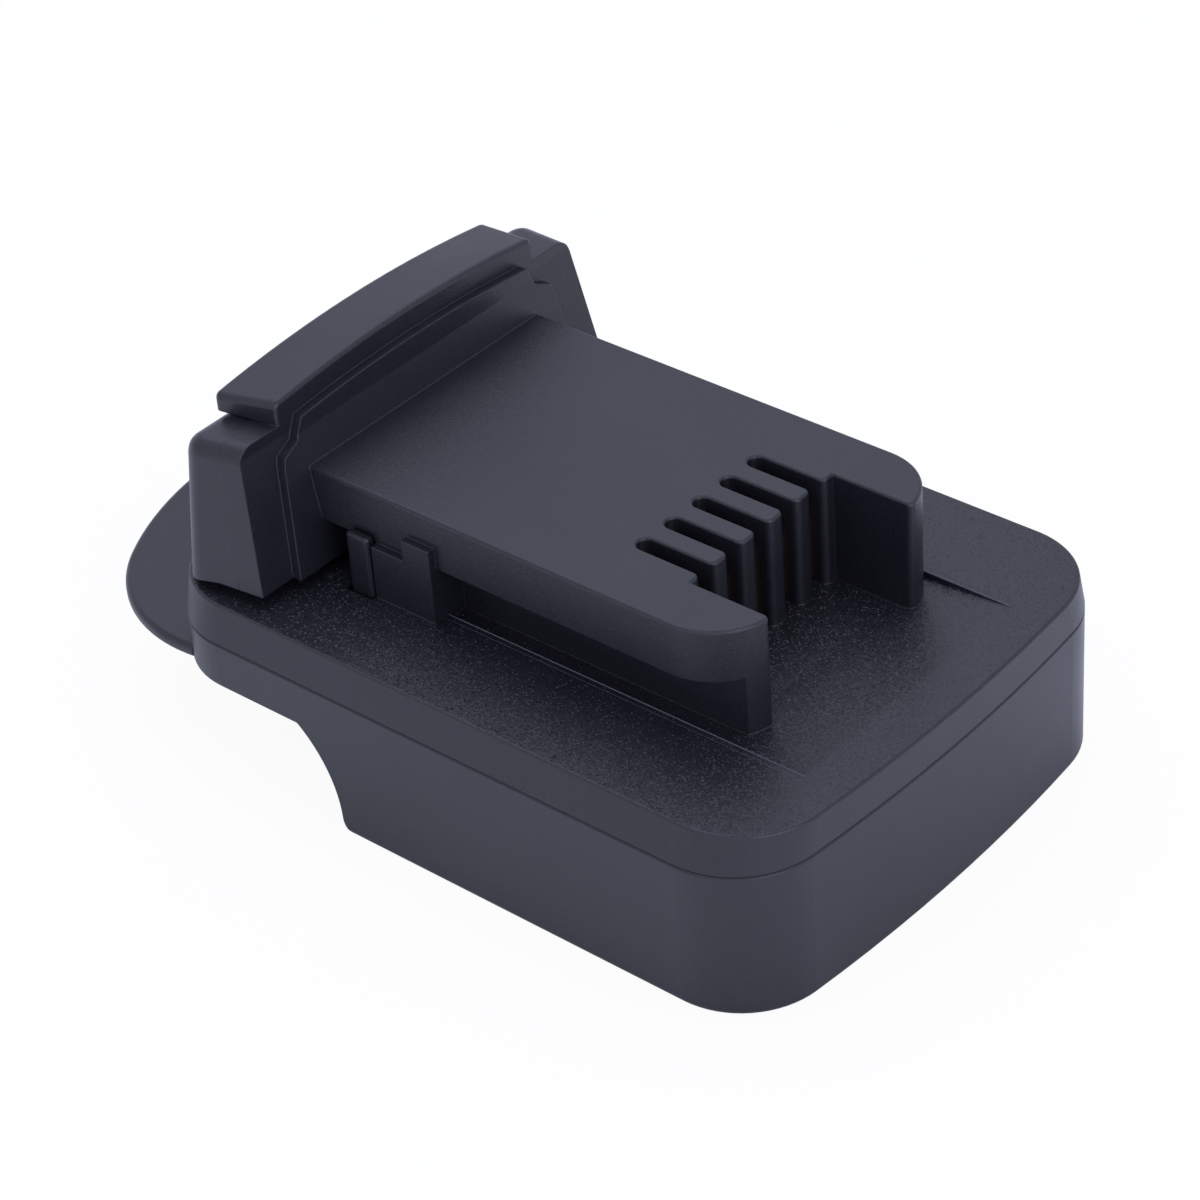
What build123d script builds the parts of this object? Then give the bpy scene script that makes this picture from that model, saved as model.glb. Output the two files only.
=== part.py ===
# Slide-on battery adapter for a cordless tool: rails on top, battery bay below, sprung release tongue
from build123d import *
import math
import os

os.makedirs("parts", exist_ok=True)

# All sizes are in millimetres. X runs forward, Z runs up, and the object is symmetric about Y = 0.
# Names that end in _ahead are distances forward of the bezel's upper front face. Names that end in
# _rise are heights above the bay's ceiling or the deck, and those in _drop are depths below the top.
overrun = 2.0
match = 0.01

# Body shells
body_length = 100.4
body_width = 75.0
rim_height = 5.4
deck_height = 26.6
total_height = 53.0
body_corner_radius = 12.0
front_bow_radius = 271.0
deck_edge_radius = 0.4
rim_lean = 1.4
base_edge_radius = 0.8
seam_bevel = 0.25
shell_wall = 2.4
deck_thickness = 2.5
bezel_setback = 14.7
tongue_reach = 24.2

# Lower shell
bay_ceiling_drop = 11.95
floor_thickness = 2.05
floor_start_ahead = 12.0
skirt_top_ahead = 10.8
skirt_mid_ahead = 15.2
skirt_mid_share = 0.635
skirt_heel_ahead = 17.05
skirt_heel_radius = 2.2
tongue_slot_end_ahead = -9.8
tongue_slot_rise = 2.25
ledge_start_ahead = 22.0
ledge_end_ahead = 76.0
ledge_bottom = 2.0
ledge_height = 3.0
ledge_depth = 3.5

# Rail block
rail_rise = 15.15
rail_half_width = 22.05
flange_thickness = 7.45
stem_half_width = 17.6
ear_tip_ahead = 69.4
ear_corner_radius = 9.0
ear_tip_radius = 0.8
notch_ahead = 57.3
notch_half_width = 13.9
slot_end_ahead = 46.7
slot_width = 2.4
slot_pitch = 5.42
slot_count = 5
web_corner_radius = 1.0
rail_edge_radius = 0.45
hollow_half_width = 15.1
hollow_start_ahead = 4.0
hollow_end_ahead = 45.0
rail_roof = 2.45

# Shallow recess in the deck around the rail block
recess_half_width = 20.7
recess_start_ahead = 20.0
recess_depth = 0.8
ramp_start_ahead = 66.0
ramp_end_ahead = 79.0

# Stop blocks that close the rail channels at the rear
stop_start_ahead = 12.9
stop_length = 10.0
stop_half_width = 23.2
stop_drop = 4.35
stop_step_ahead = 18.3

# Bezel
skirt_rise = 1.8
skirt_front_ahead = 3.2
upright_drop = 6.5
shoulder_drop = 4.9
shoulder_rear_drop = 0.8
bezel_depth = 10.0
skirt_rear_rise = 0.8
flank_margin = 4.0
flank_lean_slope = 0.134
flank_flare_slope = 0.117
shoulder_radius = 2.5
bezel_rear_radius = 3.0
bezel_front_radius = 0.6
bezel_rear_edge_radius = 0.9
front_slab = 3.7
arch_margin = 9.1
arch_radius = 183.0
arch_corner_radius = 1.0
arch_drop = 1.2
arch_wall = 2.2
arch_gap = 0.3
arch_seat_length = 1.5
cover_wall = 2.2
foot_front_ahead = -0.2
foot_split_ahead = -2.9
foot_rear_ahead = -9.5
foot_front_margin = 7.1
foot_rear_margin = 4.5

# Raised pad on the bezel's front
pad_rise = 1.4
pad_base_margin = 5.5
pad_elbow_drop = 10.0
pad_elbow_margin = 7.6
pad_step_drop = 8.6
pad_step_margin = 8.0
pad_neck_drop = 7.4
pad_neck_margin = 10.7
pad_crown_margin = 12.0
pad_crown_drop = 4.5
pad_top_drop = 3.4

# Release lever
plate_thickness = 2.2
plate_drop = 0.45
tongue_nose_half_width = 24.3
tongue_nose_drop = 6.5
tongue_root_margin = 2.4
tongue_root_gap = 0.3
tongue_edge_radius = 0.9
plate_clearance = 0.9
plate_front_ahead = 10.0
riser_rear_ahead = 5.0
arm_rise = 4.25
arm_thickness = 3.0
arm_inner = 18.2
arm_outer = 25.0
barrel_radius = 2.8
barrel_outer = 28.7
post_rear_ahead = 8.9
post_length = 3.7
post_half_width = 23.6
post_shelf_drop = 7.75
post_nose_inner = 22.4
post_drop = 6.45
post_edge_radius = 0.35
post_corner_radius = 0.5
window_gap_behind = 0.7
window_gap_side = 0.4
crossbar_rear_ahead = 12.0
crossbar_length = 10.0
arm_stop_ahead = 18.0
arm_stop_length = 3.0
arm_stop_gap = 0.1
cup_wall = 1.3
cup_roof = 1.5
cup_clearance = 0.7

# Lever pin and its blocks
pin_ahead = 38.0
pin_rise = 5.25
pin_radius = 1.5
pin_running_clearance = 0.05
pin_fixed_clearance = 0.02
pin_block_inner = 29.0
pin_block_thickness = 4.0
pin_block_length = 7.0
pin_block_rise = 7.75
pin_end_gap = 0.2

# Lever springs
spring_radius = 3.0
spring_wire_radius = 0.35
spring_length = 12.8
spring_turns = 7
spring_half_spacing = 8.5
spigot_clearance = 0.25
spigot_height = 2.5

# Circuit board and what stands on it
board_rise = 3.95
board_thickness = 1.6
board_rear_ahead = 44.0
board_length = 36.0
board_half_width = 24.0
board_corner_radius = 2.0
carrier_rear_ahead = 45.5
carrier_length = 11.5
carrier_corner_bevel = 0.8
carrier_half_width = 14.0
carrier_top_gap = 0.1
transistor_size = (6.6, 10.0, 2.3)
transistor_ahead = 74.0
transistor_offset = 15.0
transistor_tab = 0.5
chip_size = (4.0, 10.0, 1.6)
chip_ahead = 61.0
chip_pin_count = 8
chip_pin_pitch = 1.27
chip_pin_reach = 1.0
chip_pin_width = 0.45
chip_pin_height = 0.8
capacitor_size = (7.3, 4.3, 2.5)
capacitor_ahead = 73.0
capacitor_offset = -15.0
capacitor_edge_radius = 0.4

# Sprung contacts in the slots
leaf_thickness = 0.4
leaf_spread = 1.8
leaf_throat = 0.7
leaf_mouth = 1.9
contact_rear_gap = 1.1
leaf_straight = 0.8
leaf_to_throat = 4.8
leaf_to_mouth = 6.8
leaf_bottom_gap = 0.6
leaf_top_depth = 6.0
leg_clearance = 0.25
leg_stub = 0.5

# Battery terminal block and its blades
block_rear_ahead = 62.0
block_length = 14.0
block_half_width = 16.0
block_height = 8.15
block_corner_radius = 1.5
blade_thickness = 0.8
blade_tip_ahead = 50.0
blade_bottom_gap = 1.6
blade_height = 5.0
blade_tip_bevel = 1.2
blade_leg_ahead = 66.0
blade_leg_length = 3.0
blade_leg_stub = 2.2
blade_spacing = 10.0
blade_clearance = 0.1

# Heavy leads from the blades to the contact carrier
lead_radius = 1.2
lead_shift = 2.4
lead_run_in = 2.4
lead_run_out = 2.6
lead_bend_radius = 2.6
lead_lift = 0.15

# Screws
shell_screw_rear_ahead = 24.0
shell_screw_front_ahead = 75.0
shell_screw_margin = 8.0
shell_head_radius = 2.7
shell_head_height = 1.9
shell_shank_radius = 1.45
shell_screw_cover = 2.6
boss_wall = 2.0
cover_boss_wall = 1.6
cover_screw_ahead = -6.2
cover_screw_margin = 9.5
cover_boss_rise = 9.4
cover_screw_rise = 6.4
board_screw_ahead = 60.0
board_screw_offset = 20.5
small_head_radius = 1.9
small_head_height = 1.2
small_shank_radius = 0.95
board_screw_rise = 0.95
block_screw_ahead = 73.0
block_screw_offset = 13.0
block_screw_rise = 3.35
block_boss_height = 1.5
screw_clearance = 0.2
thread_clearance = 0.05
head_clearance = 0.3
drive_length = 2.2
drive_width = 0.55
drive_depth = 0.8

# Places that follow from the sizes
body_front_x = (body_length + tongue_reach) / 2
body_rear_x = body_front_x - body_length
bezel_x = body_rear_x + bezel_setback
half_width = body_width / 2
seam_height = deck_height - rim_height
deck_underside = deck_height - deck_thickness
bay_ceiling = deck_height - bay_ceiling_drop
skirt_mid_height = bay_ceiling * skirt_mid_share
tongue_slot_top = bay_ceiling + tongue_slot_rise
plate_bottom = bay_ceiling - plate_drop
arm_bottom = bay_ceiling + arm_rise
pin_height = bay_ceiling + pin_rise
pin_block_top = bay_ceiling + pin_block_rise
board_bottom = bay_ceiling + board_rise
board_screw_end = bay_ceiling + board_screw_rise
block_screw_end = bay_ceiling + block_screw_rise
shell_screw_end = deck_height - shell_screw_cover
cover_boss_top = deck_height + cover_boss_rise
cover_screw_end = deck_height + cover_screw_rise
rail_top = deck_height + rail_rise
flange_bottom = rail_top - flange_thickness
hollow_top = rail_top - rail_roof
stop_top = rail_top - stop_drop
post_top = rail_top - post_drop
post_shelf = rail_top - post_shelf_drop
skirt_height = deck_height + skirt_rise
skirt_rear_height = deck_height + skirt_rear_rise
upright_start = total_height - upright_drop
shoulder_height = total_height - shoulder_drop
flank_half_width = half_width - flank_margin
arch_half_width = flank_half_width - arch_margin
foot_front_half_width = half_width - foot_front_margin
foot_rear_half_width = half_width - foot_rear_margin
pad_base_half_width = flank_half_width - pad_base_margin
pad_elbow_half_width = flank_half_width - pad_elbow_margin
pad_elbow_height = total_height - pad_elbow_drop
pad_step_half_width = flank_half_width - pad_step_margin
pad_step_height = total_height - pad_step_drop
pad_neck_half_width = flank_half_width - pad_neck_margin
pad_neck_height = total_height - pad_neck_drop
pad_crown_half_width = flank_half_width - pad_crown_margin
pad_crown_height = total_height - pad_crown_drop
pad_top = total_height - pad_top_drop
tongue_root_half_width = half_width - tongue_root_margin
shell_screw_offset = half_width - shell_screw_margin
cover_screw_offset = half_width - cover_screw_margin
recess_floor = deck_height - recess_depth
floor_top = bay_ceiling + floor_thickness
plate_top = plate_bottom + plate_thickness
arm_top = arm_bottom + arm_thickness
rail_rear_x = bezel_x
ear_tip_x = bezel_x + ear_tip_ahead
notch_x = bezel_x + notch_ahead
slot_radius = slot_width / 2
slot_places = [(index - (slot_count - 1) / 2) * slot_pitch for index in range(slot_count)]
stop_rear_x = bezel_x + stop_start_ahead
pin_x = bezel_x + pin_ahead
post_rear_x = bezel_x + post_rear_ahead
post_x = post_rear_x + post_length / 2
crossbar_x = bezel_x + crossbar_rear_ahead + crossbar_length / 2
cup_bore = spring_radius + cup_clearance
cup_ceiling = floor_top + spring_length
board_top = board_bottom + board_thickness
board_x = bezel_x + board_rear_ahead + board_length / 2
carrier_x = bezel_x + carrier_rear_ahead + carrier_length / 2
carrier_front_x = carrier_x + carrier_length / 2
contact_x = bezel_x + slot_end_ahead + contact_rear_gap
block_rear_x = bezel_x + block_rear_ahead
blade_leg_x = bezel_x + blade_leg_ahead
blade_bottom = bay_ceiling - block_height + blade_bottom_gap
shell_screw_places = [
    (bezel_x + ahead, side * shell_screw_offset)
    for ahead in (shell_screw_rear_ahead, shell_screw_front_ahead)
    for side in (-1, 1)
]
cover_screw_places = [(bezel_x + cover_screw_ahead, side * cover_screw_offset) for side in (-1, 1)]
board_screw_places = [(bezel_x + board_screw_ahead, side * board_screw_offset) for side in (-1, 1)]
block_screw_places = [(bezel_x + block_screw_ahead, side * block_screw_offset) for side in (-1, 1)]
sides = (-1, 1)
blade_places = (-blade_spacing, 0, blade_spacing)


def finish(piece, label):
    """Name one finished piece and write it to its own file."""
    piece.part.label = label
    export_step(piece.part, f"parts/{label}.step")


def body_outline(inset, lean=0):
    """Plan of the body drawn in by an inset, and by a lean at both sides: bowed front, round corners."""
    side = half_width - inset - lean
    bow = front_bow_radius - inset
    front = body_front_x - inset
    rear = body_rear_x + inset
    corner = front - bow + math.sqrt(bow**2 - side**2)
    with BuildSketch(mode=Mode.PRIVATE) as plan:
        with BuildLine():
            Polyline((corner, -side), (rear, -side), (rear, side), (corner, side))
            ThreePointArc((corner, side), (front, 0), (corner, -side))
        make_face()
        fillet(plan.vertices(), body_corner_radius - inset)
    add(plan.sketch)


def box_between(x_range, y_range, z_range, mode=Mode.ADD):
    """Block between two stations along each axis."""
    with BuildSketch(Plane.XY.offset(z_range[0])) as base:
        with Locations(((x_range[0] + x_range[1]) / 2, (y_range[0] + y_range[1]) / 2)):
            Rectangle(abs(x_range[1] - x_range[0]), abs(y_range[1] - y_range[0]))
    extrude(base.sketch, amount=z_range[1] - z_range[0], mode=mode)


def rods(places, radius, bottom, top, mode=Mode.ADD):
    """Upright rods, or holes, of one radius at several places."""
    with BuildSketch(Plane.XY.offset(bottom)) as ends:
        with Locations(*places):
            Circle(radius)
    extrude(ends.sketch, amount=top - bottom, mode=mode)


def cross_rod(x, z, radius, reach, mode=Mode.ADD):
    """Rod, or hole, across the object along Y, centred on the middle plane."""
    with BuildSketch(Plane.XZ) as middle:
        with Locations((x, z)):
            Circle(radius)
    extrude(middle.sketch, amount=reach, both=True, mode=mode)


def side_profile(points, reach, mode=Mode.ADD):
    """Outline in the XZ plane, extruded to both sides."""
    with BuildSketch(Plane.XZ) as middle:
        with BuildLine():
            Polyline(*points, close=True)
        make_face()
    extrude(middle.sketch, amount=reach, both=True, mode=mode)


def screw_set(places, head_face, head_radius, head_height, shank_radius, end):
    """Screws with a cross drive: the head's outer face is at head_face and the shank runs to end."""
    up = 1 if end > head_face else -1
    seat = head_face + up * head_height
    rods(places, head_radius, min(head_face, seat), max(head_face, seat))
    rods(places, shank_radius, min(seat, end), max(seat, end))
    drive = head_face + up * drive_depth
    with BuildSketch(Plane.XY.offset(min(head_face, drive))) as slots:
        with Locations(*places):
            Rectangle(drive_length, drive_width)
            Rectangle(drive_width, drive_length)
    extrude(slots.sketch, amount=drive_depth, mode=Mode.SUBTRACT)


def contact_slits(bottom, top):
    """Slits that the legs of the five contacts pass through."""
    for place in slot_places:
        box_between(
            (contact_x - leg_clearance, contact_x + leaf_thickness + leg_clearance),
            (place - leaf_spread / 2 - leg_clearance, place + leaf_spread / 2 + leg_clearance),
            (bottom, top),
            mode=Mode.SUBTRACT,
        )


def blade_slits(bottom, top):
    """Slits that the legs of the three blades pass through."""
    for place in blade_places:
        half = blade_thickness / 2 + blade_clearance
        box_between(
            (blade_leg_x - blade_clearance, blade_leg_x + blade_leg_length + blade_clearance),
            (place - half, place + half),
            (bottom, top),
            mode=Mode.SUBTRACT,
        )


# Lower shell: outer wall, raised floor over the battery bay, rails for the battery, bosses
with BuildPart() as lower_shell:
    with BuildSketch():
        body_outline(0)
    extrude(amount=seam_height)
    chamfer(lower_shell.edges().group_by(Axis.Z)[-1], seam_bevel)
    fillet(lower_shell.edges().group_by(Axis.Z)[0], base_edge_radius)
    with BuildSketch():
        body_outline(shell_wall)
    extrude(amount=seam_height, mode=Mode.SUBTRACT)
    with BuildSketch(Plane.XY.offset(bay_ceiling)):
        body_outline(shell_wall / 2)
        with Locations((bezel_x + floor_start_ahead, 0)):
            Rectangle(body_length, body_width, align=(Align.MIN, Align.CENTER), mode=Mode.INTERSECT)
    extrude(amount=floor_thickness)
    # Lower rear: the skirt sweeps up to the level of the bay's ceiling
    heel_x = bezel_x + skirt_heel_ahead
    heel_centre_x = heel_x + skirt_heel_radius
    heel_step = skirt_heel_radius * math.cos(math.radians(45))
    with BuildSketch(Plane.XZ):
        with BuildLine():
            Polyline(
                (bezel_x + skirt_top_ahead, bay_ceiling),
                (body_rear_x - overrun, bay_ceiling),
                (body_rear_x - overrun, -overrun),
                (heel_centre_x, -overrun),
                (heel_centre_x, 0),
            )
            ThreePointArc(
                (heel_centre_x, 0),
                (heel_centre_x - heel_step, skirt_heel_radius - heel_step),
                (heel_x, skirt_heel_radius),
            )
            ThreePointArc(
                (heel_x, skirt_heel_radius),
                (bezel_x + skirt_mid_ahead, skirt_mid_height),
                (bezel_x + skirt_top_ahead, bay_ceiling),
            )
        make_face()
    extrude(amount=body_width, both=True, mode=Mode.SUBTRACT)
    box_between(
        (body_rear_x - overrun, bezel_x + tongue_slot_end_ahead),
        (-body_width, body_width),
        (0, tongue_slot_top),
        mode=Mode.SUBTRACT,
    )
    for side in sides:
        box_between(
            (bezel_x + ledge_start_ahead, bezel_x + ledge_end_ahead),
            (side * (half_width - shell_wall - ledge_depth), side * (half_width - shell_wall / 2)),
            (ledge_bottom, ledge_bottom + ledge_height),
        )
        box_between(
            (pin_x - pin_block_length / 2, pin_x + pin_block_length / 2),
            (side * pin_block_inner, side * (pin_block_inner + pin_block_thickness)),
            (floor_top - floor_thickness / 2, pin_block_top),
        )
    cross_rod(
        pin_x,
        pin_height,
        pin_radius + pin_fixed_clearance,
        pin_block_inner + pin_block_thickness + pin_end_gap,
        mode=Mode.SUBTRACT,
    )
    spigot_places = [(crossbar_x, side * spring_half_spacing) for side in sides]
    spigot_radius = spring_radius - 2 * spring_wire_radius - spigot_clearance
    rods(spigot_places, spigot_radius, floor_top, floor_top + spigot_height)
    rods(shell_screw_places, shell_shank_radius + screw_clearance + boss_wall, floor_top, seam_height)
    rods(
        shell_screw_places,
        shell_shank_radius + screw_clearance,
        bay_ceiling,
        seam_height,
        mode=Mode.SUBTRACT,
    )
    rods(
        shell_screw_places,
        shell_head_radius + head_clearance,
        bay_ceiling,
        bay_ceiling + shell_head_height,
        mode=Mode.SUBTRACT,
    )
    rods(board_screw_places, small_shank_radius + boss_wall, floor_top, board_bottom)
    rods(
        board_screw_places,
        small_shank_radius + thread_clearance,
        board_screw_end,
        board_bottom,
        mode=Mode.SUBTRACT,
    )
    rods(block_screw_places, small_shank_radius + boss_wall, floor_top, floor_top + block_boss_height)
    rods(
        block_screw_places,
        small_shank_radius + thread_clearance,
        bay_ceiling,
        floor_top + block_boss_height,
        mode=Mode.SUBTRACT,
    )
    blade_slits(bay_ceiling, floor_top)
finish(lower_shell, "lower_shell")


def rail_outline(height, half):
    """Plan of the rail block out to a half width: two ears, the notch between them, five slots."""
    with BuildSketch(Plane.XY.offset(height)) as outline:
        with Locations(((rail_rear_x + ear_tip_x) / 2, 0)):
            Rectangle(ear_tip_x - rail_rear_x, 2 * rail_half_width)
        fillet(outline.vertices().group_by(Axis.X)[-1], ear_corner_radius)
        with Locations((notch_x, 0)):
            Rectangle(
                ear_tip_ahead,
                2 * notch_half_width,
                align=(Align.MIN, Align.CENTER),
                mode=Mode.SUBTRACT,
            )
        tips = outline.vertices().filter_by(
            lambda point: point.X > notch_x + match and abs(point.Y) < notch_half_width + match
        )
        fillet(tips, ear_tip_radius)
        with Locations(*[(bezel_x + slot_end_ahead + slot_radius, place) for place in slot_places]):
            Rectangle(
                ear_tip_ahead,
                slot_width,
                align=(Align.MIN, Align.CENTER),
                mode=Mode.SUBTRACT,
            )
            Circle(slot_radius, mode=Mode.SUBTRACT)
        webs = outline.vertices().filter_by(
            lambda point: abs(point.X - notch_x) < match and abs(point.Y) < notch_half_width - match
        )
        fillet(webs, web_corner_radius)
        if half < rail_half_width:
            with Locations(((rail_rear_x + ear_tip_x) / 2, 0)):
                Rectangle(ear_tip_x - rail_rear_x, 2 * half, mode=Mode.INTERSECT)
    return outline.sketch


def flank_plane(side, inset):
    """One flank of the bezel: it leans in towards the top and flares out towards the rear."""
    return Plane(
        origin=(bezel_x + skirt_front_ahead, side * (flank_half_width - inset), skirt_height),
        z_dir=(flank_flare_slope, side, flank_lean_slope),
    )


def face_ahead(height):
    """How far ahead the bezel's front face is at a height: upright at the top, leaning below."""
    lean = max(upright_start - height, 0) / (upright_start - skirt_height)
    return bezel_x + skirt_front_ahead * lean


def arch_edge(half):
    """Height of the arched roof's edge at a half width."""
    return total_height - arch_radius + math.sqrt(arch_radius**2 - half**2)


bezel_rear_x = bezel_x - bezel_depth

# Envelope of the bezel below the arched roof, from the skirt to the shoulders
with BuildPart() as bezel_block:
    side_profile(
        (
            (face_ahead(skirt_height), skirt_height),
            (face_ahead(upright_start), upright_start),
            (face_ahead(shoulder_height), shoulder_height),
            (bezel_rear_x, shoulder_height - shoulder_rear_drop),
            (bezel_rear_x, skirt_rear_height),
            (bezel_x - front_slab, skirt_height),
        ),
        body_width,
    )
    for side in sides:
        split(bisect_by=flank_plane(side, 0), keep=Keep.BOTTOM)
    top_corners = bezel_block.edges().filter_by(
        lambda edge: edge.center().Z > shoulder_height - shoulder_rear_drop and abs(edge.center().Y) > match
    )
    fillet(top_corners, shoulder_radius)
    rear_corners = bezel_block.edges().filter_by(
        lambda edge: abs(edge.center().X - bezel_rear_x) < match
        and abs(edge.center().Y) > match
        and edge.length > shoulder_height - skirt_height - shoulder_radius
    )
    fillet(rear_corners, bezel_rear_radius)

# Envelope of the arched roof, which drops a little and widens towards the rear
with BuildPart() as arch_block:
    arch_wide = arch_half_width + overrun
    with BuildSketch(Plane.YZ.offset(bezel_x)):
        with BuildLine():
            Polyline(
                (-arch_wide, arch_edge(arch_wide)),
                (-arch_wide, skirt_height),
                (arch_wide, skirt_height),
                (arch_wide, arch_edge(arch_wide)),
            )
            ThreePointArc((arch_wide, arch_edge(arch_wide)), (0, total_height), (-arch_wide, arch_edge(arch_wide)))
        make_face()
    extrude(
        amount=math.hypot(bezel_depth, arch_drop),
        dir=(-bezel_depth, 0, -arch_drop),
    )
    for side in sides:
        arch_end = Plane(
            origin=(bezel_x, side * arch_half_width, total_height),
            z_dir=(flank_flare_slope, side, 0),
        )
        split(bisect_by=arch_end, keep=Keep.BOTTOM)
    arch_corners = arch_block.edges().filter_by(
        lambda edge: edge.center().Z > shoulder_height
        and abs(edge.center().Y) > arch_half_width
        and edge.length > bezel_depth - match
    )
    fillet(arch_corners, arch_corner_radius)
    for rim_face, rim_radius in (
        (arch_block.faces().sort_by(Axis.X)[0], bezel_rear_edge_radius),
        (arch_block.faces().sort_by(Axis.X)[-1], bezel_front_radius),
    ):
        rim = rim_face.edges().filter_by(lambda edge: edge.center().Z > skirt_height + match)
        fillet(rim, rim_radius)
    # Underside a little less steep than the shoulder, which leaves a fine gap towards the rear
    split(
        bisect_by=Plane(
            origin=(bezel_x, 0, shoulder_height),
            z_dir=(arch_gap - shoulder_rear_drop, 0, bezel_depth),
        ),
        keep=Keep.TOP,
    )
    # Hollow underneath
    box_between(
        (bezel_x - front_slab, bezel_rear_x + arch_wall),
        (arch_wall - arch_half_width, arch_half_width - arch_wall),
        (shoulder_height - shoulder_rear_drop, arch_edge(arch_half_width) - arch_drop - arch_wall / 2),
        mode=Mode.SUBTRACT,
    )

# Front slab of the bezel, the share of the envelope ahead of the parting line
with BuildPart() as front_plate:
    add(bezel_block.part)
    side_profile(
        (
            (face_ahead(skirt_height) + overrun, skirt_height),
            (face_ahead(skirt_height) + overrun, shoulder_height),
            (face_ahead(shoulder_height) - front_slab, shoulder_height),
            (face_ahead(upright_start) - front_slab, upright_start),
            (face_ahead(skirt_height) - front_slab, skirt_height),
        ),
        body_width,
        mode=Mode.INTERSECT,
    )

# Raised pad on the front slab
with BuildPart() as pad:
    side_profile(
        (
            (face_ahead(skirt_height) - front_slab / 2, skirt_height),
            (face_ahead(skirt_height) + pad_rise, skirt_height),
            (face_ahead(upright_start) + pad_rise, upright_start),
            (face_ahead(pad_top) + pad_rise, pad_top),
            (face_ahead(pad_top) - front_slab / 2, pad_top),
            (face_ahead(upright_start) - front_slab / 2, upright_start),
        ),
        body_width,
    )
    with BuildSketch(Plane.YZ.offset(bezel_x - bezel_depth)):
        with BuildLine():
            Polyline(
                (pad_crown_half_width, pad_crown_height),
                (pad_neck_half_width, pad_neck_height),
                (pad_step_half_width, pad_step_height),
                (pad_elbow_half_width, pad_elbow_height),
                (pad_base_half_width, skirt_height),
                (-pad_base_half_width, skirt_height),
                (-pad_elbow_half_width, pad_elbow_height),
                (-pad_step_half_width, pad_step_height),
                (-pad_neck_half_width, pad_neck_height),
                (-pad_crown_half_width, pad_crown_height),
            )
            ThreePointArc(
                (-pad_crown_half_width, pad_crown_height),
                (0, pad_top),
                (pad_crown_half_width, pad_crown_height),
            )
        make_face()
    extrude(amount=2 * bezel_depth, mode=Mode.INTERSECT)


def foot_outline(height, front_ahead, rear_ahead, inset):
    """Plan of the bezel's inset foot between two stations: it widens towards the rear."""
    spread = (foot_rear_half_width - foot_front_half_width) / (foot_front_ahead - foot_rear_ahead)
    front_half = foot_front_half_width + spread * (foot_front_ahead - front_ahead) - inset
    rear_half = foot_front_half_width + spread * (foot_front_ahead - rear_ahead) - inset
    with BuildSketch(Plane.XY.offset(height)) as outline:
        with BuildLine():
            Polyline(
                (bezel_x + front_ahead, -front_half),
                (bezel_x + front_ahead, front_half),
                (bezel_x + rear_ahead, rear_half),
                (bezel_x + rear_ahead, -rear_half),
                close=True,
            )
        make_face()
    return outline.sketch


# Upper shell: deck, rail block, stop blocks and the front of the bezel
with BuildPart() as upper_shell:
    with BuildSketch(Plane.XY.offset(seam_height)):
        body_outline(seam_bevel)
    with BuildSketch(Plane.XY.offset(seam_height + seam_bevel)):
        body_outline(0)
    with BuildSketch(Plane.XY.offset(deck_height)):
        body_outline(0, rim_lean)
    loft(ruled=True)
    fillet(upper_shell.edges().group_by(Axis.Z)[-1], deck_edge_radius)
    with BuildSketch(Plane.XY.offset(seam_height)):
        body_outline(shell_wall)
    extrude(amount=deck_underside - seam_height, mode=Mode.SUBTRACT)
    side_profile(
        (
            (bezel_x + recess_start_ahead, recess_floor),
            (bezel_x + ramp_start_ahead, recess_floor),
            (bezel_x + ramp_end_ahead, deck_height),
            (bezel_x + ramp_end_ahead, deck_height + overrun),
            (bezel_x + recess_start_ahead, deck_height + overrun),
        ),
        recess_half_width,
        mode=Mode.SUBTRACT,
    )
    extrude(rail_outline(deck_underside, stem_half_width), amount=flange_bottom - deck_underside)
    extrude(rail_outline(flange_bottom, rail_half_width), amount=rail_top - flange_bottom)
    fillet(upper_shell.edges().group_by(Axis.Z)[-1], rail_edge_radius)
    for side in sides:
        stop_width = (side * (stem_half_width - shell_wall / 2), side * stop_half_width)
        box_between((stop_rear_x, stop_rear_x + stop_length), stop_width, (deck_underside, flange_bottom))
        box_between(
            (bezel_x + stop_step_ahead, stop_rear_x + stop_length),
            stop_width,
            (flange_bottom, stop_top),
        )
    add(front_plate.part)
    add(pad.part)
    add(arch_block.part)
    # Seat of the arched roof on the sloping shoulder
    box_between(
        (bezel_x - arch_seat_length, bezel_x),
        (-arch_half_width, arch_half_width),
        (shoulder_height - shoulder_rear_drop, shoulder_height),
    )
    extrude(
        foot_outline(deck_underside, foot_front_ahead, foot_split_ahead, 0),
        amount=skirt_height - deck_underside,
    )
    # Hollow of the rail block, open below for the lever's spring cups
    box_between(
        (bezel_x + hollow_start_ahead, bezel_x + hollow_end_ahead),
        (-hollow_half_width, hollow_half_width),
        (seam_height, hollow_top),
        mode=Mode.SUBTRACT,
    )
    # Windows for the lever's posts
    for side in sides:
        box_between(
            (post_rear_x - window_gap_behind, stop_rear_x),
            (side * (arm_inner - window_gap_side), side * (post_half_width + window_gap_side)),
            (seam_height, deck_height + overrun),
            mode=Mode.SUBTRACT,
        )
    contact_slits(seam_height, recess_floor + overrun)
    rods(shell_screw_places, shell_shank_radius + boss_wall, seam_height, deck_underside)
    rods(
        shell_screw_places,
        shell_shank_radius + thread_clearance,
        seam_height,
        shell_screw_end,
        mode=Mode.SUBTRACT,
    )
    rods(
        cover_screw_places,
        shell_shank_radius + screw_clearance,
        seam_height,
        deck_height,
        mode=Mode.SUBTRACT,
    )
finish(upper_shell, "upper_shell")


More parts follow.
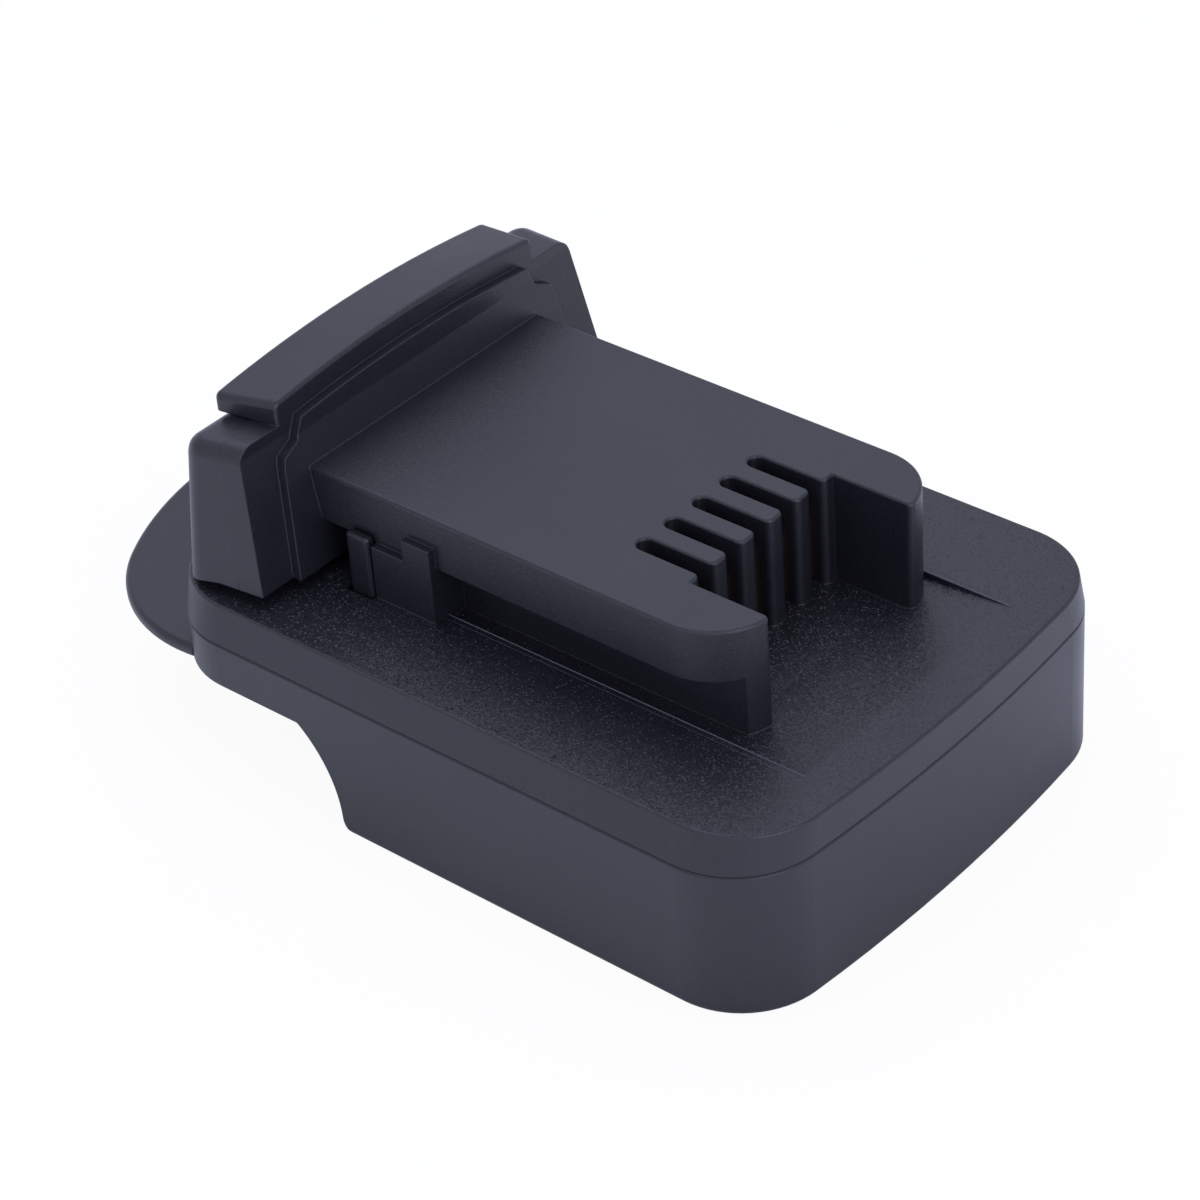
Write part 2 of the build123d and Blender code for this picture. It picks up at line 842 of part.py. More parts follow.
# Space inside the rear cover
with BuildPart() as cover_space:
    side_profile(
        (
            (bezel_x + overrun, skirt_height),
            (bezel_x + overrun, shoulder_height - cover_wall),
            (bezel_rear_x + cover_wall, shoulder_height - cover_wall),
            (bezel_rear_x + cover_wall, skirt_height),
        ),
        body_width,
    )
    for side in sides:
        split(bisect_by=flank_plane(side, cover_wall), keep=Keep.BOTTOM)

# Rear cover: cheeks, shoulders and back wall behind the parting line
with BuildPart() as rear_cover:
    add(bezel_block.part)
    side_profile(
        (
            (face_ahead(shoulder_height) - front_slab, shoulder_height),
            (face_ahead(upright_start) - front_slab, upright_start),
            (face_ahead(skirt_height) - front_slab, skirt_height),
            (face_ahead(skirt_height) - front_slab, deck_height),
            (bezel_rear_x - overrun, deck_height),
            (bezel_rear_x - overrun, shoulder_height),
        ),
        body_width,
        mode=Mode.INTERSECT,
    )
    extrude(
        foot_outline(deck_height, foot_split_ahead, foot_rear_ahead, 0),
        amount=skirt_height - deck_height,
    )
    add(cover_space.part, mode=Mode.SUBTRACT)
    extrude(
        foot_outline(deck_height, foot_split_ahead, foot_rear_ahead + cover_wall, cover_wall),
        amount=skirt_height - deck_height,
        mode=Mode.SUBTRACT,
    )
    rods(cover_screw_places, shell_shank_radius + cover_boss_wall, deck_height, cover_boss_top)
    rods(
        cover_screw_places,
        shell_shank_radius + thread_clearance,
        deck_height,
        cover_screw_end,
        mode=Mode.SUBTRACT,
    )
finish(rear_cover, "rear_cover")

# Release lever: rounded tongue, plate that closes the lower rear, arms to the pin, posts and spring cups
with BuildPart() as release_lever:
    root_x = bezel_x + tongue_slot_end_ahead - tongue_root_gap
    rear_tip_x = body_rear_x - tongue_reach
    with BuildSketch(Plane.XY.offset(plate_bottom)):
        with BuildLine():
            nose = TangentArc(
                (rear_tip_x, 0),
                (rear_tip_x + tongue_nose_drop, tongue_nose_half_width),
                tangent=(0, 1),
            )
            TangentArc(nose @ 1, (root_x, tongue_root_half_width), tangent=nose % 1)
            Polyline((root_x, tongue_root_half_width), (root_x, 0))
            mirror(about=Plane.XZ)
        make_face()
    extrude(amount=plate_thickness)
    rims = release_lever.edges().filter_by(
        lambda edge: edge.center().X < root_x - match
        and abs(edge.center().Z - (plate_bottom + plate_top) / 2) > plate_thickness / 2 - match
    )
    fillet(rims, tongue_edge_radius)
    with BuildSketch(Plane.XY.offset(plate_bottom)):
        body_outline(shell_wall + plate_clearance)
        with Locations((bezel_x + plate_front_ahead, 0)):
            Rectangle(body_length, body_width, align=(Align.MAX, Align.CENTER), mode=Mode.INTERSECT)
    extrude(amount=plate_thickness)
    box_between(
        (bezel_x + riser_rear_ahead, bezel_x + plate_front_ahead),
        (-arm_outer, arm_outer),
        (plate_bottom, arm_top),
    )
    crossbar_rear_x = crossbar_x - crossbar_length / 2
    box_between(
        (crossbar_rear_x, crossbar_rear_x + crossbar_length),
        (-arm_outer, arm_outer),
        (arm_bottom, arm_top),
    )
    for side in sides:
        box_between(
            (bezel_x + riser_rear_ahead, pin_x),
            (side * arm_inner, side * arm_outer),
            (arm_bottom, arm_top),
        )
        box_between(
            (bezel_x + arm_stop_ahead, bezel_x + arm_stop_ahead + arm_stop_length),
            (side * arm_inner, side * arm_outer),
            (arm_bottom, deck_underside - arm_stop_gap),
        )
        with BuildSketch(Plane.XZ.offset(-side * arm_inner)) as barrel_end:
            with Locations((pin_x, pin_height)):
                Circle(barrel_radius)
        extrude(barrel_end.sketch, amount=-side * (barrel_outer - arm_inner))
        with BuildSketch(Plane.XY.offset(arm_bottom)) as post_plan:
            with Locations((post_x, side * (arm_inner + post_half_width) / 2)):
                RectangleRounded(post_length, post_half_width - arm_inner, post_corner_radius)
        extrude(post_plan.sketch, amount=post_top - arm_bottom)
    fillet(release_lever.edges().group_by(Axis.Z)[-1], post_edge_radius)
    for side in sides:
        box_between(
            (post_rear_x - overrun, post_rear_x + post_length + overrun),
            (0, side * post_nose_inner),
            (post_shelf, post_top + overrun),
            mode=Mode.SUBTRACT,
        )
    rods(spigot_places, cup_bore + cup_wall, arm_bottom, cup_ceiling + cup_roof)
    rods(spigot_places, cup_bore, arm_bottom, cup_ceiling, mode=Mode.SUBTRACT)
    cross_rod(
        pin_x,
        pin_height,
        pin_radius + pin_running_clearance,
        barrel_outer + overrun,
        mode=Mode.SUBTRACT,
    )
finish(release_lever, "release_lever")

# Cross pin of the lever
with BuildPart() as lever_pin:
    cross_rod(pin_x, pin_height, pin_radius, pin_block_inner + pin_block_thickness - pin_end_gap)
finish(lever_pin, "lever_pin")


def lever_spring(side):
    """Compression spring round its spigot: one unbroken tube along a helix."""
    coil_radius = spring_radius - spring_wire_radius
    coil_height = spring_length - 2 * spring_wire_radius
    with BuildPart() as spring:
        with BuildLine() as coil:
            Helix(
                pitch=coil_height / spring_turns,
                height=coil_height,
                radius=coil_radius,
                center=(crossbar_x, side * spring_half_spacing, floor_top + spring_wire_radius),
            )
        with BuildSketch(Plane(origin=coil.line @ 0, z_dir=coil.line % 0)) as wire:
            Circle(spring_wire_radius)
        sweep(wire.sketch, path=coil.line, is_frenet=True)
    return spring


lever_spring_left = lever_spring(1)
finish(lever_spring_left, "lever_spring_left")
lever_spring_right = lever_spring(-1)
finish(lever_spring_right, "lever_spring_right")
print("spring gap", round((spring_length - 2 * spring_wire_radius) / spring_turns - 2 * spring_wire_radius, 2))


# Insulating carrier that stands on the board under the slots
with BuildPart() as contact_carrier:
    box_between(
        (carrier_front_x - carrier_length, carrier_front_x),
        (-carrier_half_width, carrier_half_width),
        (board_top, deck_underside - carrier_top_gap),
    )
    chamfer(contact_carrier.edges().filter_by(Axis.Z), carrier_corner_bevel)
    contact_slits(board_top, deck_underside)
finish(contact_carrier, "contact_carrier")


def fork_contact(place):
    """Sprung contact in one slot: two leaves that close to a throat and open again, on one leg."""
    bend_x = contact_x + leaf_thickness / 2
    leaf_bottom = recess_floor + leaf_bottom_gap
    with BuildPart() as contact:
        with BuildSketch(Plane.XY.offset(leaf_bottom)) as plan:
            with BuildLine() as path:
                Polyline(
                    (bend_x + leaf_to_mouth, place + leaf_mouth / 2),
                    (bend_x + leaf_to_throat, place + leaf_throat / 2),
                    (bend_x + leaf_straight, place + leaf_spread / 2),
                    (bend_x, place + leaf_spread / 2),
                    (bend_x, place - leaf_spread / 2),
                    (bend_x + leaf_straight, place - leaf_spread / 2),
                    (bend_x + leaf_to_throat, place - leaf_throat / 2),
                    (bend_x + leaf_to_mouth, place - leaf_mouth / 2),
                )
            trace(path.edges(), line_width=leaf_thickness)
        extrude(plan.sketch, amount=rail_top - leaf_top_depth - leaf_bottom)
        box_between(
            (contact_x, contact_x + leaf_thickness),
            (place - leaf_spread / 2, place + leaf_spread / 2),
            (board_bottom - leg_stub, leaf_bottom),
        )
    return contact


contact_names = (
    "negative_fork_contact",
    "sense_fork_contact",
    "signal_fork_contact",
    "thermal_fork_contact",
    "positive_fork_contact",
)
for name, place in zip(contact_names, slot_places):
    finish(fork_contact(place), name)

# Circuit board on its two standoffs
with BuildPart() as circuit_board:
    with BuildSketch(Plane.XY.offset(board_bottom)):
        with Locations((board_x, 0)):
            RectangleRounded(board_length, 2 * board_half_width, board_corner_radius)
    extrude(amount=board_thickness)
    rods(
        board_screw_places,
        small_shank_radius + screw_clearance,
        board_bottom,
        board_top,
        mode=Mode.SUBTRACT,
    )
    contact_slits(board_bottom, board_top)
    blade_slits(board_bottom, board_top)
finish(circuit_board, "circuit_board")


def block_on_board(size, ahead, place, mode=Mode.ADD):
    """Rectangular body of a component that stands on the board."""
    centre_x = bezel_x + ahead
    box_between(
        (centre_x - size[0] / 2, centre_x + size[0] / 2),
        (place - size[1] / 2, place + size[1] / 2),
        (board_top, board_top + size[2]),
        mode=mode,
    )


with BuildPart() as power_transistor:
    block_on_board(transistor_size, transistor_ahead, transistor_offset)
    chamfer(power_transistor.edges().group_by(Axis.Z)[-1], transistor_tab)
finish(power_transistor, "power_transistor")

with BuildPart() as control_chip:
    block_on_board(chip_size, chip_ahead, 0)
    row_middle = (chip_pin_count / 2 - 1) / 2
    for index in range(chip_pin_count // 2):
        pin_place = (index - row_middle) * chip_pin_pitch
        block_on_board(
            (chip_size[0] + 2 * chip_pin_reach, chip_pin_width, chip_pin_height),
            chip_ahead,
            pin_place,
        )
finish(control_chip, "control_chip")

with BuildPart() as smoothing_capacitor:
    block_on_board(capacitor_size, capacitor_ahead, capacitor_offset)
    fillet(smoothing_capacitor.edges().filter_by(Axis.Z), capacitor_edge_radius)
finish(smoothing_capacitor, "smoothing_capacitor")


def blade(place):
    """Flat blade with a bevelled tip; its leg rises through the block, the floor and the board."""
    tip_x = bezel_x + blade_tip_ahead
    heel_x = blade_leg_x + blade_leg_length
    leg_top = board_top + blade_leg_stub
    blade_top = blade_bottom + blade_height
    with BuildPart() as piece:
        with BuildSketch(Plane.XZ.offset(-place)) as outline:
            with BuildLine():
                Polyline(
                    (tip_x, blade_bottom + blade_tip_bevel),
                    (tip_x + blade_tip_bevel, blade_bottom),
                    (heel_x, blade_bottom),
                    (heel_x, leg_top),
                    (blade_leg_x, leg_top),
                    (blade_leg_x, blade_top),
                    (tip_x + blade_tip_bevel, blade_top),
                    (tip_x, blade_top - blade_tip_bevel),
                    close=True,
                )
            make_face()
        extrude(outline.sketch, amount=blade_thickness / 2, both=True)
    return piece


finish(blade(blade_spacing), "positive_blade")
finish(blade(-blade_spacing), "negative_blade")
finish(blade(0), "signal_blade")

# Terminal block that carries the blades under the floor
with BuildPart() as battery_terminal_block:
    block_bottom = bay_ceiling - block_height
    box_between(
        (block_rear_x, block_rear_x + block_length),
        (-block_half_width, block_half_width),
        (block_bottom, bay_ceiling),
    )
    chamfer(battery_terminal_block.edges().filter_by(Axis.Z), block_corner_radius)
    blade_slits(blade_bottom - blade_clearance, bay_ceiling)
    for place in blade_places:
        half = blade_thickness / 2 + blade_clearance
        box_between(
            (block_rear_x - overrun, blade_leg_x),
            (place - half, place + half),
            (blade_bottom - blade_clearance, blade_bottom + blade_height + blade_clearance),
            mode=Mode.SUBTRACT,
        )
    rods(
        block_screw_places,
        small_shank_radius + screw_clearance,
        block_bottom,
        bay_ceiling,
        mode=Mode.SUBTRACT,
    )
    rods(
        block_screw_places,
        small_head_radius + head_clearance,
        block_bottom,
        block_bottom + small_head_height,
        mode=Mode.SUBTRACT,
    )
finish(battery_terminal_block, "battery_terminal_block")


def power_lead(side):
    """Insulated lead above the board, from a blade's leg to the carrier beside the outer contact."""
    height = board_top + lead_radius + lead_lift
    place = side * blade_spacing
    with BuildPart() as lead:
        with BuildLine() as route:
            FilletPolyline(
                (blade_leg_x, place, height),
                (blade_leg_x - lead_run_in, place, height),
                (carrier_front_x + lead_run_out, place + side * lead_shift, height),
                (carrier_front_x, place + side * lead_shift, height),
                radius=lead_bend_radius,
            )
        with BuildSketch(Plane(origin=route.line @ 0, z_dir=route.line % 0)) as section_end:
            Circle(lead_radius)
        sweep(section_end.sketch, path=route.line)
    return lead


finish(power_lead(1), "positive_lead")
finish(power_lead(-1), "negative_lead")

# Screws: four through the two shells, two up into the rear cover, two down into the standoffs, two up
# into the floor through the terminal block
with BuildPart() as shell_screws:
    screw_set(
        shell_screw_places,
        bay_ceiling,
        shell_head_radius,
        shell_head_height,
        shell_shank_radius,
        shell_screw_end,
    )
finish(shell_screws, "shell_screws")

with BuildPart() as rear_cover_screws:
    screw_set(
        cover_screw_places,
        deck_underside - shell_head_height,
        shell_head_radius,
        shell_head_height,
        shell_shank_radius,
        cover_screw_end,
    )
finish(rear_cover_screws, "rear_cover_screws")

with BuildPart() as board_screws:
    screw_set(
        board_screw_places,
        board_top + small_head_height,
        small_head_radius,
        small_head_height,
        small_shank_radius,
        board_screw_end,
    )
finish(board_screws, "board_screws")

with BuildPart() as terminal_block_screws:
    screw_set(
        block_screw_places,
        bay_ceiling - block_height,
        small_head_radius,
        small_head_height,
        small_shank_radius,
        block_screw_end,
    )
finish(terminal_block_screws, "terminal_block_screws")
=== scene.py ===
"""Studio scene of a slide-on tool battery adapter.

Finishes for its parts, small moulding marks, light and camera.
"""
import math

import bpy
from mathutils import Matrix, Vector


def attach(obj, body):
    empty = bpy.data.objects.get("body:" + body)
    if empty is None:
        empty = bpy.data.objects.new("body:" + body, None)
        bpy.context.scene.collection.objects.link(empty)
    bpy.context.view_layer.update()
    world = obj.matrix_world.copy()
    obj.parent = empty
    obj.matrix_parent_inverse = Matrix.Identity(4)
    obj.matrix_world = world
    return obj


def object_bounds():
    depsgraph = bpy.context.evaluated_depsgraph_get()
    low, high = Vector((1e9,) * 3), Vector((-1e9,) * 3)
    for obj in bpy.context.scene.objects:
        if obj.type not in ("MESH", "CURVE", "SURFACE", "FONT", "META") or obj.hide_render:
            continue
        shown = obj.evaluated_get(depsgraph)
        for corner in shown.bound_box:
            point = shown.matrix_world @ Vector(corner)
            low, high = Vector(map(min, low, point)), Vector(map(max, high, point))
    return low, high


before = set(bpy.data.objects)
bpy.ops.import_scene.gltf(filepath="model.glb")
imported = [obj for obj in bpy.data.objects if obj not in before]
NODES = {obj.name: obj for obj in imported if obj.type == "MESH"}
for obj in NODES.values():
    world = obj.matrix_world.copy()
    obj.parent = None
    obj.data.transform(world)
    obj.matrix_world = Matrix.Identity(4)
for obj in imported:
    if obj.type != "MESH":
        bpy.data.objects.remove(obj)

bl_info = {
    "name": "Tool Battery Adapter Studio",
    "version": (1, 0, 0),
    "blender": (4, 5, 0),
    "location": "3D View > Sidebar > Adapter",
    "description": "Dresses the battery adapter's parts and sets up its studio",
    "category": "Object",
}

CAD_LOW, CAD_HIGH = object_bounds()
MILLIMETRE = 0.001

# Moulded plastic
PLASTIC_IOR = 1.52
BEVEL_SAMPLES = 6
SWELL_SIZE = 2.2  # soft swells of the grain, in pits
PEAK_SHARE = 0.5  # share of the sharp peaks between the pits
GLOSS_PATCH = 22 * MILLIMETRE
SPECK_SIZE = 0.35 * MILLIMETRE
SPECK_SHADES = ((0.35, 0.85), (0.72, 1.2))  # place on the noise, factor on the colour
FINE_GRAIN = 0.8  # pits of the fine-ground walls, in pits of the deck

# Facets of the deck's grain
DECK_FACETS = 0.55
FACETS_FULL, FACETS_END = 27 * MILLIMETRE, 29 * MILLIMETRE  # heights between which they fade
SLOPING, LEVEL = 0.5, 0.9  # upward share of the normal where they begin and where they are full
WALL_SHARE = 0.12  # what is left of the tilt on the walls and rails
STEEP_FROM = 0.8  # pits whose random red is above this lean steeply forward
CALM_TILT, STEEP_TILT = 0.3, 1.6

# Drawn metal
ALONG_LINE = 0.08  # scale of the noise along the drawing direction
BRIGHT_LINE, DULL_LINE = 0.7, 1.4  # factors on the roughness
LINE_HEIGHT = 0.01 * MILLIMETRE
STAIN_SIZE = 3 * MILLIMETRE

# Board laminate
WEAVE_PITCH = 0.9 * MILLIMETRE
WEAVE_HEIGHT = 0.02 * MILLIMETRE
TRACK_LENGTH = 6 * MILLIMETRE
TRACK_PITCH = 1.6 * MILLIMETRE
TRACK_GAP = 0.25 * MILLIMETRE

# Edge lines
LINE_SIDES = 12
OUTER_LINE_SHARE = 0.25  # radius of the outer line, in radii of the inner one
SMOOTH_ANGLE = math.radians(40)

# Stage and camera
FIBRE_SIZE = 0.6 * MILLIMETRE
FIBRE_HEIGHT = 0.02 * MILLIMETRE
FLOOR_GLOW = 0.94  # share of plain white in what the camera sees of the floor
SENSOR_WIDTH = 36.0
NEAR_CLIP = 0.01


# Colour and node helpers

def linear(hex_colour):
    """Turn an sRGB hex colour into linear red, green, blue and alpha."""
    channels = [int(hex_colour[i:i + 2], 16) / 255 for i in (1, 3, 5)]
    turned = [c / 12.92 if c <= 0.04045 else ((c + 0.055) / 1.055) ** 2.4 for c in channels]
    return (*turned, 1.0)


def add_node(tree, kind, settings=None, inputs=None):
    """Add one node, set its properties, and fill or link its inputs."""
    node = tree.nodes.new(kind)
    for name, value in (settings or {}).items():
        setattr(node, name, value)
    for name, value in (inputs or {}).items():
        if isinstance(value, bpy.types.NodeSocket):
            tree.links.new(value, node.inputs[name])
        else:
            node.inputs[name].default_value = value
    return node


def new_material(name):
    """Make an empty node material and return it with its tree."""
    material = bpy.data.materials.new(name)
    material.use_nodes = True
    material.node_tree.nodes.clear()
    return material, material.node_tree


def dress(material, *names):
    """Give one material to several CAD nodes or pieces."""
    for name in names:
        mesh = NODES[name].data if name in NODES else bpy.data.objects[name].data
        mesh.materials.clear()
        mesh.materials.append(material)


# Materials

def moulded_plastic(name, colour, roughness, grain, depth, unevenness, edge, facets=0.0):
    """Injection-moulded thermoplastic.

    The grain is the texture that the mould's surface leaves: it breaks the highlight into specks.
    Uneven packing and handling make broad, soft changes in gloss.
    Facets are the coarser pits of the deck, which throw single glints out of the dark.
    """
    material, tree = new_material(name)
    place = add_node(tree, "ShaderNodeTexCoord").outputs["Object"]
    swells = add_node(tree, "ShaderNodeTexNoise", inputs={
        "Vector": place, "Scale": 1 / (grain * SWELL_SIZE), "Detail": 2.0, "Roughness": 0.55})
    peaks = add_node(tree, "ShaderNodeTexVoronoi", inputs={
        "Vector": place, "Scale": 1 / grain, "Randomness": 1.0})
    blend = add_node(tree, "ShaderNodeMath", {"operation": "MULTIPLY_ADD"}, {
        0: peaks.outputs["Distance"], 1: PEAK_SHARE, 2: swells.outputs["Fac"]})
    rounded = add_node(tree, "ShaderNodeBevel", {"samples": BEVEL_SAMPLES}, {"Radius": edge})
    relief = add_node(tree, "ShaderNodeBump", inputs={
        "Strength": 1.0, "Distance": depth, "Height": blend.outputs["Value"],
        "Normal": rounded.outputs["Normal"]})
    clouds = add_node(tree, "ShaderNodeTexNoise", inputs={
        "Vector": place, "Scale": 1 / GLOSS_PATCH, "Detail": 3.0, "Roughness": 0.6})
    gloss = add_node(tree, "ShaderNodeMapRange", inputs={
        "Value": clouds.outputs["Fac"], "From Min": 0.3, "From Max": 0.7,
        "To Min": roughness - unevenness, "To Max": roughness + unevenness})
    dots = add_node(tree, "ShaderNodeTexNoise", inputs={
        "Vector": place, "Scale": 1 / SPECK_SIZE, "Detail": 1.0})
    tone = add_node(tree, "ShaderNodeValToRGB", inputs={"Fac": dots.outputs["Fac"]})
    for stop, (position, shade) in zip(tone.color_ramp.elements, SPECK_SHADES):
        stop.position = position
        stop.color = (*[channel * shade for channel in linear(colour)[:3]], 1)
    surface = relief.outputs["Normal"]
    if facets:
        surface = tilted_facets(tree, place, surface, grain, facets)
    shader = add_node(tree, "ShaderNodeBsdfPrincipled", inputs={
        "Base Color": tone.outputs["Color"], "Roughness": gloss.outputs["Result"],
        "Normal": surface, "IOR": PLASTIC_IOR})
    add_node(tree, "ShaderNodeOutputMaterial", inputs={"Surface": shader.outputs["BSDF"]})
    return material


def tilted_facets(tree, place, surface, grain, facets):
    """Tilt each pit of the grain its own way.

    The tilt is full on the level deck and faint on the walls and rails. One pit in five leans
    steeply forward, and its glint shows where the deck mirrors something dark.
    """
    pits = add_node(tree, "ShaderNodeTexVoronoi", inputs={"Vector": place, "Scale": 1 / grain})
    aims = add_node(tree, "ShaderNodeVectorMath", {"operation": "SUBTRACT"}, {
        0: pits.outputs["Color"], 1: (0.5, 0.5, 0.5)})
    height = add_node(tree, "ShaderNodeSeparateXYZ", inputs={"Vector": place})
    low = add_node(tree, "ShaderNodeMapRange", inputs={
        "Value": height.outputs["Z"], "From Min": FACETS_END, "From Max": FACETS_FULL})
    lie = add_node(tree, "ShaderNodeSeparateXYZ", inputs={
        "Vector": add_node(tree, "ShaderNodeTexCoord").outputs["Normal"]})
    level = add_node(tree, "ShaderNodeMapRange", inputs={
        "Value": lie.outputs["Z"], "From Min": SLOPING, "From Max": LEVEL})
    deck = add_node(tree, "ShaderNodeMath", {"operation": "MULTIPLY"}, {
        0: low.outputs["Result"], 1: level.outputs["Result"]})
    amount = add_node(tree, "ShaderNodeMapRange", inputs={
        "Value": deck.outputs["Value"], "To Min": facets * WALL_SHARE, "To Max": facets})
    chance = add_node(tree, "ShaderNodeSeparateXYZ", inputs={"Vector": pits.outputs["Color"]})
    steep = add_node(tree, "ShaderNodeMath", {"operation": "GREATER_THAN"}, {
        0: chance.outputs["X"], 1: STEEP_FROM})
    share = add_node(tree, "ShaderNodeMapRange", inputs={
        "Value": steep.outputs["Value"], "To Min": CALM_TILT, "To Max": STEEP_TILT})
    lean = add_node(tree, "ShaderNodeMath", {"operation": "MULTIPLY"}, {
        0: amount.outputs["Result"], 1: share.outputs["Result"]})
    tilts = add_node(tree, "ShaderNodeVectorMath", {"operation": "SCALE"}, {
        0: aims.outputs["Vector"], "Scale": lean.outputs["Value"]})
    tilted = add_node(tree, "ShaderNodeVectorMath", {"operation": "ADD"}, {
        0: surface, 1: tilts.outputs["Vector"]})
    unit = add_node(tree, "ShaderNodeVectorMath", {"operation": "NORMALIZE"}, {
        0: tilted.outputs["Vector"]})
    return unit.outputs["Vector"]


def drawn_metal(name, colour, roughness, line, tint=None):
    """Metal drawn, rolled or turned in one direction, so that fine lines streak its highlight."""
    material, tree = new_material(name)
    place = add_node(tree, "ShaderNodeTexCoord").outputs["Object"]
    along = add_node(tree, "ShaderNodeMapping", inputs={
        "Vector": place, "Scale": (1.0, ALONG_LINE, 1.0)})
    lines = add_node(tree, "ShaderNodeTexNoise", inputs={
        "Vector": along.outputs["Vector"], "Scale": 1 / line, "Detail": 3.0})
    gloss = add_node(tree, "ShaderNodeMapRange", inputs={
        "Value": lines.outputs["Fac"],
        "To Min": roughness * BRIGHT_LINE, "To Max": roughness * DULL_LINE})
    relief = add_node(tree, "ShaderNodeBump", inputs={
        "Strength": 0.4, "Distance": LINE_HEIGHT, "Height": lines.outputs["Fac"]})
    stain = add_node(tree, "ShaderNodeTexNoise", inputs={
        "Vector": place, "Scale": 1 / STAIN_SIZE, "Detail": 2.0})
    tone = add_node(tree, "ShaderNodeValToRGB", inputs={"Fac": stain.outputs["Fac"]})
    tone.color_ramp.elements[0].color = linear(colour)
    tone.color_ramp.elements[1].color = linear(tint or colour)
    shader = add_node(tree, "ShaderNodeBsdfPrincipled", inputs={
        "Base Color": tone.outputs["Color"], "Metallic": 1.0, "Roughness": gloss.outputs["Result"],
        "Normal": relief.outputs["Normal"]})
    add_node(tree, "ShaderNodeOutputMaterial", inputs={"Surface": shader.outputs["BSDF"]})
    return material


def board_laminate(name, mask, copper):
    """Solder mask over glass laminate: the weave shows faintly, the tracks a shade lighter."""
    material, tree = new_material(name)
    place = add_node(tree, "ShaderNodeTexCoord").outputs["Object"]
    weave = add_node(tree, "ShaderNodeTexWave", {"wave_type": "BANDS"}, {
        "Vector": place, "Scale": 1 / WEAVE_PITCH / math.tau, "Distortion": 0.4})
    tracks = add_node(tree, "ShaderNodeTexBrick", inputs={
        "Vector": place, "Scale": 1.0, "Brick Width": TRACK_LENGTH, "Row Height": TRACK_PITCH,
        "Mortar Size": TRACK_GAP, "Color1": linear(copper), "Color2": linear(copper),
        "Mortar": linear(mask)})
    relief = add_node(tree, "ShaderNodeBump", inputs={
        "Strength": 0.2, "Distance": WEAVE_HEIGHT, "Height": weave.outputs["Fac"]})
    shader = add_node(tree, "ShaderNodeBsdfPrincipled", inputs={
        "Base Color": tracks.outputs["Color"], "Roughness": 0.28,
        "Normal": relief.outputs["Normal"]})
    add_node(tree, "ShaderNodeOutputMaterial", inputs={"Surface": shader.outputs["BSDF"]})
    return material


def paper_sweep(name, colour):
    """White paper of the floor.

    Most of what the camera sees of it is plain white; the rest keeps the object's shadow.
    """
    material, tree = new_material(name)
    place = add_node(tree, "ShaderNodeTexCoord").outputs["Object"]
    fibres = add_node(tree, "ShaderNodeTexNoise", inputs={
        "Vector": place, "Scale": 1 / FIBRE_SIZE, "Detail": 4.0})
    relief = add_node(tree, "ShaderNodeBump", inputs={
        "Strength": 0.1, "Distance": FIBRE_HEIGHT, "Height": fibres.outputs["Fac"]})
    paper = add_node(tree, "ShaderNodeBsdfPrincipled", inputs={
        "Base Color": linear(colour), "Roughness": 0.9, "Normal": relief.outputs["Normal"]})
    glow = add_node(tree, "ShaderNodeEmission", inputs={"Color": (1, 1, 1, 1), "Strength": 1.0})
    ray = add_node(tree, "ShaderNodeLightPath")
    seen = add_node(tree, "ShaderNodeMath", {"operation": "MULTIPLY"}, {
        0: ray.outputs["Is Camera Ray"], 1: FLOOR_GLOW})
    mixed = add_node(tree, "ShaderNodeMixShader", inputs={
        "Fac": seen.outputs["Value"], 1: paper.outputs["BSDF"], 2: glow.outputs["Emission"]})
    add_node(tree, "ShaderNodeOutputMaterial", inputs={"Surface": mixed.outputs["Shader"]})
    return material


def pale_room(name, light_colour, ambient):
    """Even, tinted light from all round; the camera sees the room as pure white."""
    world = bpy.data.worlds.new(name)
    world.use_nodes = True
    sky = world.node_tree
    sky.nodes.clear()
    ray = add_node(sky, "ShaderNodeLightPath")
    seen = add_node(sky, "ShaderNodeMath", {"operation": "MAXIMUM"}, {
        0: ray.outputs["Is Camera Ray"], 1: ray.outputs["Is Transmission Ray"]})
    strength = add_node(sky, "ShaderNodeMapRange", inputs={
        "Value": seen.outputs["Value"], "To Min": ambient, "To Max": 1.0})
    tint = add_node(sky, "ShaderNodeValToRGB", inputs={"Fac": seen.outputs["Value"]})
    tint.color_ramp.elements[0].color = linear(light_colour)
    tint.color_ramp.elements[1].color = (1, 1, 1, 1)
    room = add_node(sky, "ShaderNodeBackground", inputs={
        "Color": tint.outputs["Color"], "Strength": strength.outputs["Result"]})
    add_node(sky, "ShaderNodeOutputWorld", inputs={"Surface": room.outputs["Background"]})
    return world


# Settings that a user would change

class AdapterPlasticSettings(bpy.types.PropertyGroup):
    """Colours and grain of the moulded parts."""

    shell_colour: bpy.props.StringProperty(
        name="Shell colour", description="sRGB hex colour of the two shells", default="#17171D")
    shell_grain: bpy.props.FloatProperty(
        name="Deck grain", description="Size of one pit of the spark-eroded grain",
        default=0.18 * MILLIMETRE, unit="LENGTH", precision=5)
    shell_grain_depth: bpy.props.FloatProperty(
        name="Deck grain depth", description="Height of the spark-eroded grain",
        default=0.02 * MILLIMETRE, unit="LENGTH", precision=6)
    side_grain_depth: bpy.props.FloatProperty(
        name="Side grain depth",
        description="Height of the finer grain on the outer walls and the lever",
        default=0.01 * MILLIMETRE, unit="LENGTH", precision=6)
    edge_softness: bpy.props.FloatProperty(
        name="Edge softness", description="Radius that the mould leaves on sharp edges",
        default=0.25 * MILLIMETRE, unit="LENGTH", precision=5)


